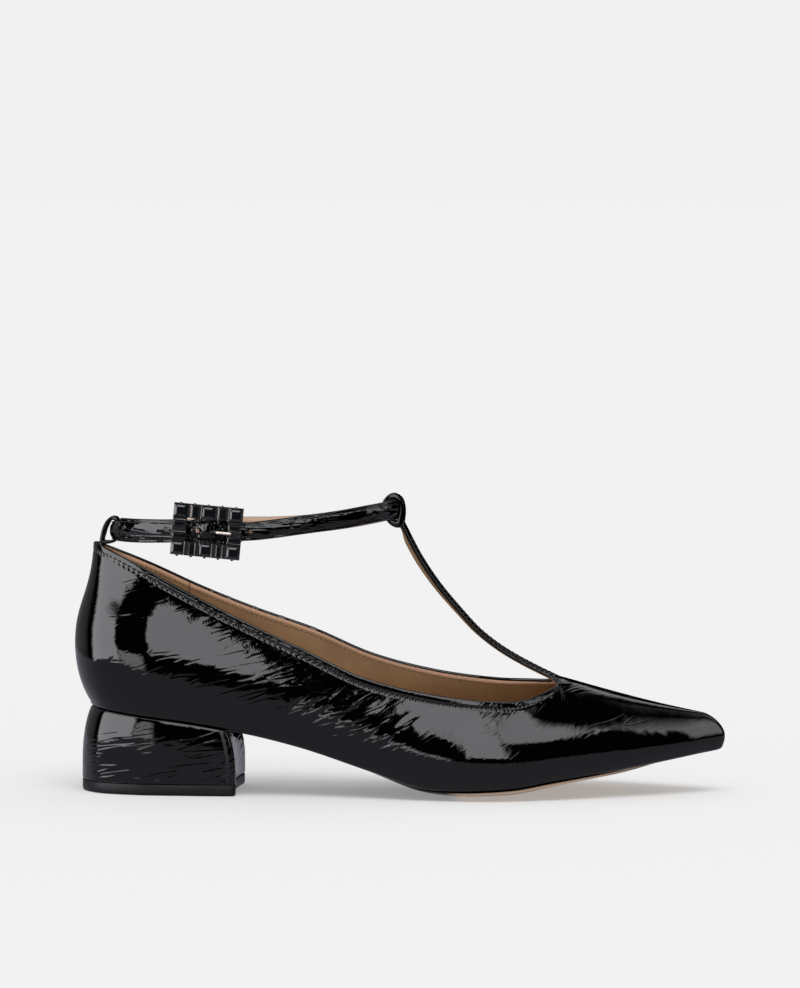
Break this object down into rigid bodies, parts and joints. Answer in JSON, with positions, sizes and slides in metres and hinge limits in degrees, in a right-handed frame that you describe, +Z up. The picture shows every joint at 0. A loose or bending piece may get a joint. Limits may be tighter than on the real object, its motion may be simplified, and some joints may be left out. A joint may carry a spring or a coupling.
{
  "type": "buckle shoe",
  "caption": "Women's pointed-toe T-bar court shoe for the right foot, black patent, low flared block heel, ankle strap with a stone-set buckle.",
  "frame": {"origin": "middle of the heel's top piece, on the floor", "axes": "+X to the toe, +Y to the wearer's inner side, +Z up"},
  "size_m": [0.259, 0.0771, 0.1185],
  "materials": {
    "patent": "crinkled gloss",
    "sole_leather": "smooth",
    "insole_leather": "matt",
    "rubber": "matt",
    "buckle_metal": "gunmetal",
    "jet_stone": "step-cut, opaque"
  },
  "bodies": {
    "root": {"upper": "patent", "outsole": "sole_leather", "insole": "insole_leather", "heel": "patent", "top_piece": "rubber", "ankle_strap": "patent", "heel_loop": "patent", "buckle_frame": "buckle_metal", "buckle_tongue": "buckle_metal", "stone_01": "jet_stone", "stone_02": "jet_stone", "stone_03": "jet_stone", "stone_04": "jet_stone", "stone_05": "jet_stone", "stone_06": "jet_stone", "stone_07": "jet_stone", "stone_08": "jet_stone", "stone_09": "jet_stone", "stone_10": "jet_stone", "stone_11": "jet_stone", "stone_12": "jet_stone", "stone_13": "jet_stone", "stone_14": "jet_stone"}
  },
  "joints": []
}
